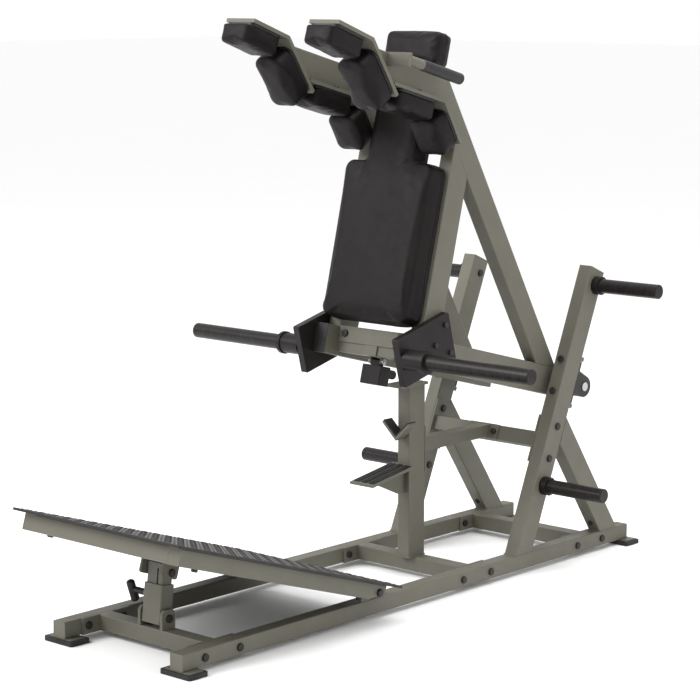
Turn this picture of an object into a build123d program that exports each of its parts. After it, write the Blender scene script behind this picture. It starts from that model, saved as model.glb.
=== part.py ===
"""Hack squat machine: base frame, storage frame, swinging arm with shoulder yoke, and foot platform.

Working frame while modelling: X across the machine, Y to the rear from the front ends of the base
rails, Z up from the floor, millimetres. Everything is shifted on saving, so that the part's origin
is on the floor, in the middle of the machine's length.
"""
from build123d import *
import math
import os

MID_Y = 1053.7            # middle of the machine's length, from the rails' front ends

# ---- steel sections --------------------------------------------------------------------------
TUBE = 50.8               # width of every frame tube
DEEP = 80.0               # depth of the uprights, post, braces and arm diagonals
WALL = 3.2
LID = 4.0                 # thickness of a lid welded into a tube's end
CORNER = 4.0              # outer corner radius of a square tube
PLATE = 6.0
STRAP = 12.0              # thickness of the bent shoulder straps

# ---- base ------------------------------------------------------------------------------------
RAIL_X = 251.7            # centre of a side rail and of the upright on it
RAIL_LENGTH = 2164.0
FOOT_HEIGHT = 17.0
FOOT_PLATE = 3.0
FOOT = (125.0, 75.0)
FOOT_STEEL = (104.0, 58.0)
FOOT_Y = (30.0, 2151.6)
RAIL_TOP = FOOT_HEIGHT + TUBE
CROSS_Y = (160.0, 1326.0, 1943.0)
END_PLATE_LENGTH = 190.0
BOLT_SPREAD = 70.5        # from a crossmember's centre to each bolt
CAP_R = 12.0              # black bolt cap
CAP_HEIGHT = 7.0
RAIL_OUT = RAIL_X + TUBE / 2
RAIL_IN = RAIL_X - TUBE / 2
RAIL_MID_Z = FOOT_HEIGHT + TUBE / 2

# ---- centre post -----------------------------------------------------------------------------
POST_Y = (1278.0, 1358.0)
POST_TOP = 643.0
LEDGE = (76.0, 135.0, 8.0)
LEDGE_FRONT_Y = 1226.0
SADDLE_Y = (1238.0, 1277.5)
SADDLE_HALF = 59.0
SADDLE_TOP = 521.0
SADDLE_VERTEX = 465.0
SADDLE_PLATE = 8.0
SADDLE_LINER = 5.0
LANDING_FRONT = (1070.0, 349.0)
LANDING_REAR_Z = 382.0
LANDING_HALF = 50.0
LANDING_THICK = 8.0
STRIP_THICK = 3.0

# ---- leaning uprights and rear braces --------------------------------------------------------
LEAN = 23.0               # uprights lean back from vertical, degrees
UPRIGHT_FOOT_Y = 1531.2   # front edge of the upright where it meets the rail
UPRIGHT_LENGTH = 1014.9
PIVOT_OUT = 140.0         # arm pivot: behind the upright's front face ...
PIVOT_ALONG = 626.7       # ... and up along the upright
TRANSVERSE_ALONG = 404.0
TRANSVERSE_BOLT = 56.0
STORAGE_ALONG = (257.0, 962.0)
STORAGE_OUT = 52.0
STORAGE_LENGTH = (246.0, 258.0)
STORAGE_R = 24.0
STORAGE_COLLAR = 25.0
ROOT_STEP = 1.0           # a sleeve's root is this much smaller in radius inside its collar ...
ROOT_RELIEF = 1.0         # ... and up to this far past it
BRACE_LEAN = 34.8
BRACE_FOOT_Y = (2004.1, 2101.5)

# ---- arm pivot -------------------------------------------------------------------------------
SHAFT_R = 15.0
RUNNING = 0.05            # radial clearance of a running fit
BLOCK_WIDTH = 38.0
BLOCK_BASE = (146.0, 14.0)
HOUSING_R = 36.0

# ---- arm: drawn level, as (ahead of the pivot, above the pivot), then tilted up --------------
ARM_TILT = 14.7
SIDE_X = 174.0            # centre of an arm side frame
SIDE_IN = SIDE_X - TUBE / 2
SIDE_OUT = SIDE_X + TUBE / 2
LOWER_HALF = 48.0
LOWER_ENDS = (-28.0, 866.0)
MITRE_REAR = 33.0         # a diagonal's rear face: ahead = above + this
MITRE_FRONT = 146.0
SPINE = (720.0, 810.0)
BEAM = (784.0, 872.0)     # underside and top of a yoke beam
ARM_CROSS = ((757.2, 808.0), (-35.0, 41.0))
SLEEVE_PLATE = (256.0, 160.0, 25.0)
SLEEVE_PLATE_AT = (802.7, 9.7)
SLEEVE_PLATE_TURN = 29.2
SLEEVE_AT = (890.5, -34.1)
SLEEVE_R = 25.0
SLEEVE_TIP_X = 713.0
COLLAR_END_X = 311.0
FRONT_STRAP = ((1472.6, 903.9), (1309.7, 889.8), (1156.2, 750.2))
REAR_STRAP = ((1181.0, 784.0), (930.0, 784.0), (819.0, 673.0))
STRAP_HALF = 60.0
REAR_STRAP_THICK = 10.0
PAD_HALF = 59.0
BOARD = 9.0
BACK_HALF = 190.0
BACK_SHOULDER = 593.0
BACK_BOTTOM = 68.0
NECK_HALF = 105.0
NECK_TOP = 880.0
BACK_BOARD = 12.0
BACK_CUSHION = 64.0
HEADREST = (115.0, 905.0, 1020.0)
HEADREST_CUSHION = 54.0
GRIP_X = 272.0
GRIP_UP = 852.5
GRIP_ENDS = (925.0, 1117.0)
HANDLE_PLATE = ((1190.0, 1200.0), (830.0, 872.0))

# ---- latch under the arm ---------------------------------------------------------------------
LATCH_PIN = (770.0, -47.0)
LATCH_PIN_R = 6.0
LATCH_BLOCK = ((745.0, 795.0), (-124.0, -61.0))
LATCH_HALF = 40.0
BUMPER = (681.0, -81.0, 15.0)

# ---- foot platform: drawn level, as (ahead of its pivot, above it), then tilted up -----------
SLOPE = 17.7
HINGE = (780.0, 104.5)
PLATFORM_X = 307.4
PLATFORM_FRONT = 880.0
TREAD = ((-77.0, 912.6), 358.0, 8.0)
HINGE_BOLT_R = 8.0
CLEVIS = (612.0, -60.0)
CLEVIS_BOLT_R = 6.0
CLEVIS_X = (40.5, 48.5)

# ---- strut under the platform: drawn upright on its lower bolt -------------------------------
STRUT_FOOT = (163.0, 99.0)
STRUT_OUTER = (76.2, 50.8)
STRUT_OUTER_ENDS = (-20.0, 97.0)
STRUT_INNER = (66.0, 41.0)
STRUT_INNER_ENDS = (32.0, 160.0)
EAR_X = (42.0, 52.0)
PIN_UP = 60.0
PIN_R = 5.0


# ---- helpers ---------------------------------------------------------------------------------
def slab(outline, x_low, x_high):
    """A plate or block with a side outline in (Y, Z), reaching from x_low to x_high."""
    wire = Polyline(*[(x_low, y, z) for y, z in outline], close=True)
    return extrude(make_face(wire.edges()), amount=x_high - x_low, dir=(1, 0, 0))


def ahead(outline):
    """Turn (ahead, above) points into (Y, Z), because the machine faces -Y."""
    return [(-forward, up) for forward, up in outline]


def blend_points(start, end, share):
    """The point at a given share of the way from start to end."""
    return tuple(a + (b - a) * share for a, b in zip(start, end))


def side_tube(outline, x_mid, width=TUBE, wall=WALL):
    """A hollow tube seen from the side. Outline: top start, top end, bottom end, bottom start."""
    start, end, end_low, start_low = outline
    run = Vector(0, end[0] - start[0], end[1] - start[1]).normalized()
    drop = Vector(0, start_low[0] - start[0], start_low[1] - start[1])
    share = wall / run.cross(drop).length
    outer = slab(outline, x_mid - width / 2, x_mid + width / 2)
    long_edges = [e for e in outer.edges() if abs((e % 0.5).dot(run)) > 0.9999]
    outer = fillet(long_edges, CORNER)
    inside = [
        blend_points(start, start_low, share),
        blend_points(end, end_low, share),
        blend_points(end, end_low, 1 - share),
        blend_points(start, start_low, 1 - share),
    ]
    return outer - slab(inside, x_mid - width / 2 + wall, x_mid + width / 2 - wall)


def cross_tube(depth, height, x_low, x_high, wall=WALL):
    """A hollow tube along X with its centre on the X axis."""
    start = Plane.YZ.offset(x_low)
    outer = extrude(start * RectangleRounded(depth, height, CORNER), amount=x_high - x_low)
    inner = extrude(start * Rectangle(depth - 2 * wall, height - 2 * wall), amount=x_high - x_low)
    return outer - inner


def rod(radius, x_low, x_high, y=0.0, z=0.0):
    """A round bar along X."""
    return Pos((x_low + x_high) / 2, y, z) * Rot(Y=90) * Cylinder(radius, x_high - x_low)


def ring(outer_r, inner_r, x_low, x_high, y=0.0, z=0.0):
    """A round ring along X."""
    return rod(outer_r, x_low, x_high, y, z) - rod(inner_r, x_low - 1, x_high + 1, y, z)


def closed_sleeve(radius, x_low, x_high, y, z, collar_length, wall=4.0):
    """A plate sleeve: a round tube along X with a closed outer end and a turned-down root in its collar."""
    root_end = x_low + collar_length + ROOT_RELIEF
    rim = rod(radius, root_end, x_high, y, z)
    rim = fillet(rim.edges().sort_by(Axis.X)[-1], 3)
    rim += rod(radius - ROOT_STEP, x_low, root_end, y, z)
    return rim - rod(radius - wall, x_low - 1, x_high - wall, y, z)


def cap(radius=CAP_R, height=CAP_HEIGHT):
    """A domed bolt cap on the XY plane, standing up along Z."""
    blank = Pos(0, 0, height / 2) * Cylinder(radius, height)
    return fillet(blank.edges().sort_by(Axis.Z)[-1], height * 0.45)


FACING = {
    "+X": Rot(Y=90),
    "-X": Rot(Y=-90),
    "+Y": Rot(X=-90),
    "-Y": Rot(X=90),
    "+Z": Rot(),
    "-Z": Rot(X=180),
}


def cap_at(x, y, z, facing, radius=CAP_R, height=CAP_HEIGHT):
    """A bolt cap lying on a face at (x, y, z) that looks along the given direction."""
    return Pos(x, y, z) * FACING[facing] * cap(radius, height)


def both_sides(*pieces):
    """The given near-side pieces and their mirror images on the far side."""
    return [*pieces, *[mirror(piece, about=Plane.YZ) for piece in pieces]]


def on_upright(piece):
    """Place a piece drawn against an upright: Y behind its front face, Z along it."""
    return Pos(0, UPRIGHT_FOOT_Y, RAIL_TOP) * Rot(X=-LEAN) * piece


def upright_point(out, along):
    """Where a point drawn against an upright lies on the machine."""
    return on_upright(Pos(0, out, along)).position


ARM_PIVOT = upright_point(PIVOT_OUT, PIVOT_ALONG)


def on_arm(piece):
    """Place a piece drawn with the arm level and its pivot on the X axis."""
    return Pos(0, ARM_PIVOT.Y, ARM_PIVOT.Z) * Rot(X=-ARM_TILT) * piece


def on_platform(piece):
    """Place a piece drawn with the platform level and its hinge on the X axis."""
    return Pos(0, *HINGE) * Rot(X=-SLOPE) * piece


CLEVIS_POINT = on_platform(Pos(0, -CLEVIS[0], CLEVIS[1])).position
STRUT_RUN = CLEVIS_POINT - Vector(0, *STRUT_FOOT)
STRUT_REACH = STRUT_RUN.length
STRUT_LEAN = math.degrees(math.atan2(STRUT_RUN.Y, STRUT_RUN.Z))


def on_strut(piece):
    """Place a piece drawn with the strut upright and its lower bolt on the X axis."""
    return Pos(0, *STRUT_FOOT) * Rot(X=-STRUT_LEAN) * piece


def save(name, pieces):
    """Write one node: its pieces as separate solids, moved into the part's own frame."""
    solids = [Pos(0, -MID_Y, 0) * solid for piece in pieces for solid in piece.solids()]
    export_step(Compound(children=solids), f"parts/{name}.step")


# ---- base ------------------------------------------------------------------------------------
def base_rails():
    """Long floor tubes with a lid welded into each end."""
    outline = [(0, RAIL_TOP), (RAIL_LENGTH, RAIL_TOP), (RAIL_LENGTH, FOOT_HEIGHT), (0, FOOT_HEIGHT)]
    rail = side_tube(outline, RAIL_X)
    inset = LID / 2 + 0.5
    for y in (inset, RAIL_LENGTH - inset):
        rail += Pos(RAIL_X, y, RAIL_MID_Z) * Box(TUBE - WALL, LID, TUBE - WALL)
    return both_sides(rail)


def base_crossmembers():
    length = RAIL_IN - PLATE
    return [Pos(0, y, RAIL_MID_Z) * cross_tube(TUBE, TUBE, -length, length) for y in CROSS_Y]


def joint_plates():
    """Bolted end plates: on the rails, on the uprights, on the post and on the transverse tube."""
    plates = []
    for y in CROSS_Y:
        blank = Pos(RAIL_IN - PLATE / 2, y, RAIL_MID_Z) * Box(PLATE, END_PLATE_LENGTH, TUBE)
        plates += both_sides(blank)
    blank = Box(PLATE, DEEP, 2 * TRANSVERSE_BOLT + 50)
    plates += both_sides(on_upright(Pos(RAIL_IN - PLATE / 2, DEEP / 2, TRANSVERSE_ALONG) * blank))
    plates.append(Pos(0, POST_Y[1] + PLATE / 2, brace_height()) * Box(TUBE, PLATE, 152))
    front = DEEP / 2 - TUBE / 2 - PLATE / 2
    plates.append(on_upright(Pos(0, front, TRANSVERSE_ALONG) * Box(124, PLATE, TUBE)))
    return plates


def foot_plates():
    plate = extrude(RectangleRounded(*FOOT_STEEL, 5), amount=FOOT_PLATE)
    lift = FOOT_HEIGHT - FOOT_PLATE
    return [p for y in FOOT_Y for p in both_sides(Pos(RAIL_X, y, lift) * plate)]


def foot_pads():
    pad = extrude(RectangleRounded(*FOOT, 8), amount=FOOT_HEIGHT - FOOT_PLATE)
    return [p for y in FOOT_Y for p in both_sides(Pos(RAIL_X, y, 0) * pad)]


# ---- centre post -----------------------------------------------------------------------------
def post():
    """The post with the ledge plate welded on its top."""
    foot = Pos(0, sum(POST_Y) / 2, RAIL_TOP)
    column = extrude(RectangleRounded(TUBE, DEEP, CORNER), POST_TOP - RAIL_TOP)
    hollow = extrude(Rectangle(TUBE - 2 * WALL, DEEP - 2 * WALL), POST_TOP - RAIL_TOP)
    width, length, thick = LEDGE
    ledge = extrude(RectangleRounded(width, length, 6), thick)
    return [foot * (column - hollow) + Pos(0, LEDGE_FRONT_Y + length / 2, POST_TOP) * ledge]


def saddle_arm(thick, lift):
    """One leg of the V, on the +X side: a flat strip rising outward from the vertex."""
    rise = SADDLE_TOP - SADDLE_VERTEX
    angle = math.degrees(math.atan2(rise, SADDLE_HALF))
    length = math.hypot(rise, SADDLE_HALF)
    middle_y = sum(SADDLE_Y) / 2
    low = lift * math.tan(math.radians(angle))
    strip = Pos((length + low) / 2, 0, lift + thick / 2) * Box(length - low, SADDLE_Y[1] - SADDLE_Y[0], thick)
    leg = Pos(0, middle_y, SADDLE_VERTEX) * Rot(Y=-angle) * strip
    return split(leg, bisect_by=Plane.YZ, keep=Keep.TOP)


def saddle_plates():
    return both_sides(saddle_arm(SADDLE_PLATE, 0.0))


def saddle_liners():
    return both_sides(saddle_arm(SADDLE_LINER, SADDLE_PLATE))


def landing_slope():
    """Degrees that the landing plate rises to the rear."""
    return math.degrees(math.atan2(LANDING_REAR_Z - LANDING_FRONT[1], POST_Y[0] - LANDING_FRONT[0]))


def landing_bracket():
    """The sloping landing plate and the gusset that carries it on the post."""
    front_y, front_z = LANDING_FRONT
    knee_ahead = 40.0
    rise = math.tan(math.radians(landing_slope()))
    outline = [
        (front_y, front_z),
        (POST_Y[0], LANDING_REAR_Z),
        (POST_Y[0], LANDING_REAR_Z - LANDING_THICK),
        (front_y, front_z - LANDING_THICK),
    ]
    plate = slab(outline, -LANDING_HALF, LANDING_HALF)
    knee = [
        (front_y + knee_ahead, front_z - LANDING_THICK + knee_ahead * rise),
        (POST_Y[0], LANDING_REAR_Z - LANDING_THICK),
        (POST_Y[0], LANDING_REAR_Z - 96),
        (POST_Y[0] - 30, LANDING_REAR_Z - 96),
    ]
    gusset = slab(knee, -PLATE / 2, PLATE / 2)
    return [plate + gusset]


def landing_strips():
    """Three grooved rubber strips along the landing plate."""
    length = 186.0
    width = 22.0
    strips = []
    for x in (-32.0, 0.0, 32.0):
        strip = Pos(x, 12 + length / 2, STRIP_THICK / 2) * Box(width, length, STRIP_THICK)
        for groove in (-6.0, 0.0, 6.0):
            strip -= Pos(x + groove, 12 + length / 2, STRIP_THICK) * Box(2, length, 2)
        strips.append(Pos(0, *LANDING_FRONT) * Rot(X=landing_slope()) * strip)
    return strips


# ---- uprights, braces and what holds them together -------------------------------------------
def uprights():
    foot_rise = DEEP * math.tan(math.radians(LEAN))
    outline = [(DEEP, UPRIGHT_LENGTH), (DEEP, foot_rise), (0, 0), (0, UPRIGHT_LENGTH)]
    tube = side_tube(outline, RAIL_X)
    lid = Pos(RAIL_X, DEEP / 2, UPRIGHT_LENGTH - LID / 2) * Box(TUBE - WALL, DEEP - WALL, LID)
    return both_sides(on_upright(tube + lid))


def rear_braces():
    """Braces from the rails up to the uprights' rear faces."""
    front_y, rear_y = BRACE_FOOT_Y
    lean = math.tan(math.radians(BRACE_LEAN))
    upright_rear = UPRIGHT_FOOT_Y + DEEP / math.cos(math.radians(LEAN))
    upright_lean = math.tan(math.radians(LEAN))

    def top_of(foot_y):
        rise = (foot_y - upright_rear) / (lean + upright_lean)
        return (foot_y - rise * lean, RAIL_TOP + rise)

    outline = [top_of(rear_y), (rear_y, RAIL_TOP), (front_y, RAIL_TOP), top_of(front_y)]
    return both_sides(side_tube(outline, RAIL_X))


def brace_height():
    """Height of the transverse tube's centre, which the centre brace meets level."""
    return upright_point(DEEP / 2, TRANSVERSE_ALONG).Z


def transverse_tube():
    length = RAIL_IN - PLATE
    return [on_upright(Pos(0, DEEP / 2, TRANSVERSE_ALONG) * cross_tube(TUBE, TUBE, -length, length))]


def centre_brace():
    """Level tube from the post's end plate back to the plate on the transverse tube."""
    face = upright_point(DEEP / 2 - TUBE / 2 - PLATE, TRANSVERSE_ALONG)
    lean = math.tan(math.radians(LEAN))
    start_y = POST_Y[1] + PLATE
    top, low = face.Z + TUBE / 2 - 4, face.Z - TUBE / 2 + 4
    outline = [
        (start_y, top),
        (face.Y + (top - face.Z) * lean, top),
        (face.Y + (low - face.Z) * lean, low),
        (start_y, low),
    ]
    return [side_tube(outline, 0)]


def storage_sleeves():
    sleeves = []
    for along, length in zip(STORAGE_ALONG, STORAGE_LENGTH):
        tip = RAIL_OUT + length
        sleeve = closed_sleeve(STORAGE_R, RAIL_OUT, tip, STORAGE_OUT, along, STORAGE_COLLAR)
        sleeves += both_sides(on_upright(sleeve))
    return sleeves


def storage_collars():
    collars = []
    for along in STORAGE_ALONG:
        bore = STORAGE_R - ROOT_STEP
        collar = ring(31, bore, RAIL_OUT, RAIL_OUT + STORAGE_COLLAR, STORAGE_OUT, along)
        collars += both_sides(on_upright(collar))
    return collars


def pillow_blocks():
    """Cast bearing housings bolted to the uprights' rear faces."""
    length, thick = BLOCK_BASE
    x_low, x_high = RAIL_X - BLOCK_WIDTH / 2, RAIL_X + BLOCK_WIDTH / 2
    base = Pos(RAIL_X, DEEP + thick / 2, PIVOT_ALONG) * Box(BLOCK_WIDTH, thick, length)
    web = slab(
        [
            (DEEP + thick, PIVOT_ALONG - 42),
            (DEEP + thick, PIVOT_ALONG + 42),
            (PIVOT_OUT, PIVOT_ALONG + HOUSING_R),
            (PIVOT_OUT, PIVOT_ALONG - HOUSING_R),
        ],
        x_low,
        x_high,
    )
    housing = rod(HOUSING_R, x_low, x_high, PIVOT_OUT, PIVOT_ALONG)
    bore = rod(SHAFT_R + RUNNING, x_low - 1, x_high + 1, PIVOT_OUT, PIVOT_ALONG)
    return both_sides(on_upright(base + web + housing - bore))


def frame_lugs():
    """Welded lugs: stops beside the pillow blocks, platform hinge lugs and strut ears."""
    lugs = []
    for end in (-1, 1):
        along = PIVOT_ALONG + end * (BLOCK_BASE[0] / 2 + 9)
        lugs += both_sides(on_upright(Pos(RAIL_X, DEEP + 7, along) * Box(TUBE - 4, 14, 14)))
    hinge_y, hinge_z = HINGE
    radius = 19.0
    x_low, x_high = RAIL_OUT - 12, RAIL_OUT - 0.5
    lug = Pos((x_low + x_high) / 2, hinge_y, (hinge_z + RAIL_TOP) / 2) * Box(
        x_high - x_low, 2 * radius, hinge_z - RAIL_TOP
    )
    lug += rod(radius, x_low, x_high, hinge_y, hinge_z)
    lugs += both_sides(lug - rod(HINGE_BOLT_R, x_low - 1, x_high + 1, hinge_y, hinge_z))
    foot_y, foot_z = STRUT_FOOT
    ear = slab(
        [
            (CROSS_Y[0] - TUBE / 2, RAIL_TOP),
            (CROSS_Y[0] - TUBE / 2, foot_z + 16),
            (CROSS_Y[0] - TUBE / 2 + 10, foot_z + 27),
            (CROSS_Y[0] + TUBE / 2 - 8, foot_z + 27),
            (CROSS_Y[0] + TUBE / 2 + 2, foot_z + 16),
            (CROSS_Y[0] + TUBE / 2 + 2, RAIL_TOP),
        ],
        *EAR_X,
    )
    lugs += both_sides(ear - rod(CLEVIS_BOLT_R, EAR_X[0] - 1, EAR_X[1] + 1, foot_y, foot_z))
    return lugs


def pivot_bolts():
    """Bolts that the platform and the strut turn on."""
    shank = rod(HINGE_BOLT_R, RAIL_OUT - 13, 334.0, *HINGE)
    head = Pos(333.4, *HINGE) * FACING["+X"] * cap(CAP_R, 8)
    nut = Pos(RAIL_OUT - 12, *HINGE) * FACING["-X"] * cap(CAP_R, 8)
    bolts = both_sides(shank + head + nut)
    long_bolt = rod(CLEVIS_BOLT_R, -EAR_X[1] - 1, EAR_X[1] + 1, *STRUT_FOOT)
    for facing, side in (("+X", 1), ("-X", -1)):
        long_bolt += cap_at(side * EAR_X[1], *STRUT_FOOT, facing)
    bolts.append(long_bolt)
    return bolts


def frame_bolts():
    """Every black bolt cap on the frame."""
    caps = []
    for y in CROSS_Y:
        for offset in (-BOLT_SPREAD, BOLT_SPREAD):
            caps += both_sides(cap_at(RAIL_OUT, y + offset, RAIL_MID_Z, "+X"))
            caps += both_sides(cap_at(RAIL_IN - PLATE, y + offset, RAIL_MID_Z, "-X"))
    for offset in (-TRANSVERSE_BOLT, TRANSVERSE_BOLT):
        along = TRANSVERSE_ALONG + offset
        caps += both_sides(on_upright(cap_at(RAIL_OUT, DEEP / 2, along, "+X")))
        caps += both_sides(on_upright(cap_at(RAIL_IN - PLATE, DEEP / 2, along, "-X")))
        along = PIVOT_ALONG + offset
        caps += both_sides(on_upright(cap_at(RAIL_X, 0, along, "-Y")))
        caps += both_sides(on_upright(cap_at(RAIL_X, DEEP + BLOCK_BASE[1], along, "+Y", 9, 8)))
        caps.append(cap_at(0, POST_Y[1] + PLATE, brace_height() + offset, "+Y"))
    for along in STORAGE_ALONG:
        caps += both_sides(on_upright(cap_at(RAIL_IN, STORAGE_OUT, along, "-X")))
    rise = 32.0
    foot_y = BRACE_FOOT_Y[0] - rise * math.tan(math.radians(BRACE_LEAN))
    caps += both_sides(Pos(RAIL_X, foot_y, RAIL_TOP + rise) * Rot(X=90 + BRACE_LEAN) * cap(9, 6))
    plate_front = DEEP / 2 - TUBE / 2 - PLATE
    caps += both_sides(on_upright(cap_at(46, plate_front, TRANSVERSE_ALONG, "-Y", 10, 7)))
    return caps


# ---- arm frame -------------------------------------------------------------------------------
def shaft_hole(length=2 * SIDE_OUT):
    return rod(SHAFT_R + RUNNING, -length, length)


def arm_lower_tubes():
    rear, front = LOWER_ENDS
    outline = ahead([(rear, LOWER_HALF), (front, LOWER_HALF), (front, -LOWER_HALF), (rear, -LOWER_HALF)])
    return [on_arm(piece - shaft_hole()) for piece in both_sides(side_tube(outline, SIDE_X))]


def arm_tube_caps():
    """Black plastic plugs in both ends of the lower tubes."""
    caps = []
    for end, outward in zip(LOWER_ENDS, (-1, 1)):
        plug = Pos(SIDE_X, -(end - outward * 5), 0) * Box(TUBE - 2 * WALL, 10, 2 * (LOWER_HALF - WALL))
        lip = Pos(SIDE_X, -(end + outward * 1), 0) * Box(TUBE - 1, 2, 2 * LOWER_HALF - 1)
        caps += both_sides(on_arm(plug + lip))
    return caps


def arm_diagonals():
    """The 45 degree masts from the lower tubes up to the yoke."""
    low, high = BEAM
    outline = ahead(
        [
            (LOWER_HALF + MITRE_REAR, LOWER_HALF),
            (high + MITRE_REAR, high),
            (low + MITRE_FRONT, low),
            (LOWER_HALF + MITRE_FRONT, LOWER_HALF),
        ]
    )
    return both_sides(on_arm(side_tube(outline, SIDE_X)))


def arm_spines():
    """The short columns behind the back pad, from the lower tubes to the diagonals."""
    rear, front = SPINE
    outline = ahead(
        [
            (rear, LOWER_HALF),
            (rear, rear - MITRE_FRONT),
            (front, front - MITRE_FRONT),
            (front, LOWER_HALF),
        ]
    )
    return both_sides(on_arm(side_tube(outline, SIDE_X)))


def yoke_beams():
    """Level beams over the shoulders, mitred to the diagonals and cut to the front straps."""
    low, high = BEAM
    bend, tip = FRONT_STRAP[1], FRONT_STRAP[2]
    run = (bend[0] - tip[0]) / (bend[1] - tip[1])
    outline = ahead(
        [
            (high + MITRE_REAR, high),
            (tip[0] + (high - tip[1]) * run, high),
            (tip[0] + (low - tip[1]) * run, low),
            (low + MITRE_FRONT, low),
        ]
    )
    return both_sides(on_arm(side_tube(outline, SIDE_X)))


def arm_crossmember():
    (rear, front), (low, high) = ARM_CROSS
    tube = cross_tube(front - rear, high - low, -SIDE_IN, SIDE_IN)
    return [on_arm(Pos(0, -(rear + front) / 2, (low + high) / 2) * tube)]


def pad_mount_plate():
    """Plate bolted across the crossmember's front face, carrying the back pad's lower edge."""
    front = ARM_CROSS[0][1]
    plate = Pos(0, -(front + PLATE / 2), 25) * Box(2 * (SIDE_IN - 2), PLATE, 52)
    edge = [e for e in plate.edges() if abs((e % 0.5).dot(Vector(0, 1, 0))) > 0.99]
    return [on_arm(fillet(edge, 5))]


def headrest_support():
    """Cross bar between the diagonals with the post that holds the headrest."""
    bar_depth = 40.0
    front = SPINE[1]
    bar = Pos(0, -(front - bar_depth / 2), 705) * cross_tube(bar_depth, bar_depth, -SIDE_IN, SIDE_IN)
    outline = ahead([(front - bar_depth, 725), (front - bar_depth, 1000), (front, 1000), (front, 725)])
    stem = side_tube(outline, 0, width=60)
    lid = Pos(0, -(front - bar_depth / 2), 999) * Box(60 - WALL, bar_depth - WALL, 2)
    return [on_arm(bar + stem + lid)]


def pivot_shaft():
    """Arm axle with a shoulder ring between each side frame and its bearing."""
    reach = RAIL_X + BLOCK_WIDTH / 2 + 4
    shaft = rod(SHAFT_R, -reach, reach)
    for side in (-1, 1):
        low, high = sorted((side * (SIDE_OUT + 0.3), side * (RAIL_X - BLOCK_WIDTH / 2 - 2)))
        shaft += rod(24, low, high)
    return [on_arm(shaft)]


# ---- plate sleeves on the arm ----------------------------------------------------------------
def sleeve_plates():
    length, height, thick = SLEEVE_PLATE
    plate = extrude(Plane.YZ * RectangleRounded(length, height, 6), amount=thick)
    plate = chamfer(plate.faces().sort_by(Axis.X)[-1].edges(), 1.5)
    forward, up = SLEEVE_PLATE_AT
    placed = Pos(SIDE_OUT, -forward, up) * Rot(X=SLEEVE_PLATE_TURN) * plate
    return both_sides(on_arm(placed))


def arm_sleeves():
    forward, up = SLEEVE_AT
    x_low = SIDE_OUT + SLEEVE_PLATE[2]
    collar_length = COLLAR_END_X - x_low
    sleeve = closed_sleeve(SLEEVE_R, x_low, SLEEVE_TIP_X, -forward, up, collar_length)
    return both_sides(on_arm(sleeve))


def sleeve_collars():
    """Thick collars at the sleeves' roots, each with a raised ring at its outer end."""
    forward, up = SLEEVE_AT
    x_low = SIDE_OUT + SLEEVE_PLATE[2]
    bore = SLEEVE_R - ROOT_STEP
    collar = ring(33, bore, x_low, COLLAR_END_X, -forward, up)
    collar += ring(37, bore, COLLAR_END_X - 12, COLLAR_END_X, -forward, up)
    return both_sides(on_arm(collar))


# ---- shoulder yoke: bent straps, boards and cushions -----------------------------------------
def offset_corner(before, corner, after, distance):
    """The corner of a bent line after moving both of its legs sideways by a distance."""
    first = (Vector(*corner, 0) - Vector(*before, 0)).normalized()
    second = (Vector(*after, 0) - Vector(*corner, 0)).normalized()
    normal = Vector(-first.Y, first.X, 0) + Vector(-second.Y, second.X, 0)
    scale = 2 * distance / normal.dot(normal)
    moved = Vector(*corner, 0) + normal * scale
    return (moved.X, moved.Y)


def offset_end(start, toward, end, distance):
    """An end of a bent line moved sideways by a distance."""
    run = (Vector(*toward, 0) - Vector(*start, 0)).normalized()
    return (end[0] - run.Y * distance, end[1] + run.X * distance)


def bent_strap(line, thick):
    """Outline of a strap of even thickness below and ahead of a bent line."""
    first, bend, last = line
    return [
        first,
        bend,
        last,
        offset_end(bend, last, last, thick),
        offset_corner(first, bend, last, thick),
        offset_end(first, bend, first, thick),
    ]


def strap_pair(line, thick):
    outline = ahead(bent_strap(line, thick))
    return both_sides(on_arm(slab(outline, SIDE_X - STRAP_HALF, SIDE_X + STRAP_HALF)))


def front_shoulder_straps():
    return strap_pair(FRONT_STRAP, STRAP)


def rear_shoulder_straps():
    return strap_pair(REAR_STRAP, REAR_STRAP_THICK)


def against_strap(start, end, first, last, offset, piece):
    """Lay a piece drawn on XY (length along Y, up along Z) against a strap leg, away from the strap."""
    run = Vector(end[0] - start[0], end[1] - start[1], 0).normalized()
    side = Vector(-run.Y, run.X, 0)
    middle = Vector(*start, 0) + run * (first + last) / 2 + side * offset
    plane = Plane(
        origin=(SIDE_X, -middle.X, middle.Y),
        x_dir=(1, 0, 0),
        z_dir=(0, -side.X, side.Y),
    )
    return plane * piece


def cushion(width, length, thick, corner, edge):
    """A plain cushion with rounded corners and softened outer edges, lying on XY."""
    block = extrude(RectangleRounded(width, length, corner), amount=thick)
    return fillet(block.faces().sort_by(Axis.Z)[-1].edges(), edge)


# name: strap leg's start and end, strap thickness, the pad's two ends along the leg,
# pad thickness, corner radius
SHOULDER_PADS = {
    "front_top": (FRONT_STRAP[0], FRONT_STRAP[1], STRAP, -20.0, 137.0, 60.0, 20.0),
    "front_face": (FRONT_STRAP[1], FRONT_STRAP[2], STRAP, 31.0, 214.0, 68.0, 34.0),
    "rear_top": (REAR_STRAP[0], REAR_STRAP[1], REAR_STRAP_THICK, 36.0, 216.0, 58.0, 20.0),
    "rear_face": (REAR_STRAP[1], REAR_STRAP[2], REAR_STRAP_THICK, 28.0, 163.0, 64.0, 30.0),
}


def shoulder_pad(name):
    start, end, strap, first, last, thick, corner = SHOULDER_PADS[name]
    pad = cushion(2 * PAD_HALF, last - first, thick, corner, 14)
    return both_sides(on_arm(against_strap(start, end, first, last, strap + BOARD, pad)))


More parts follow.
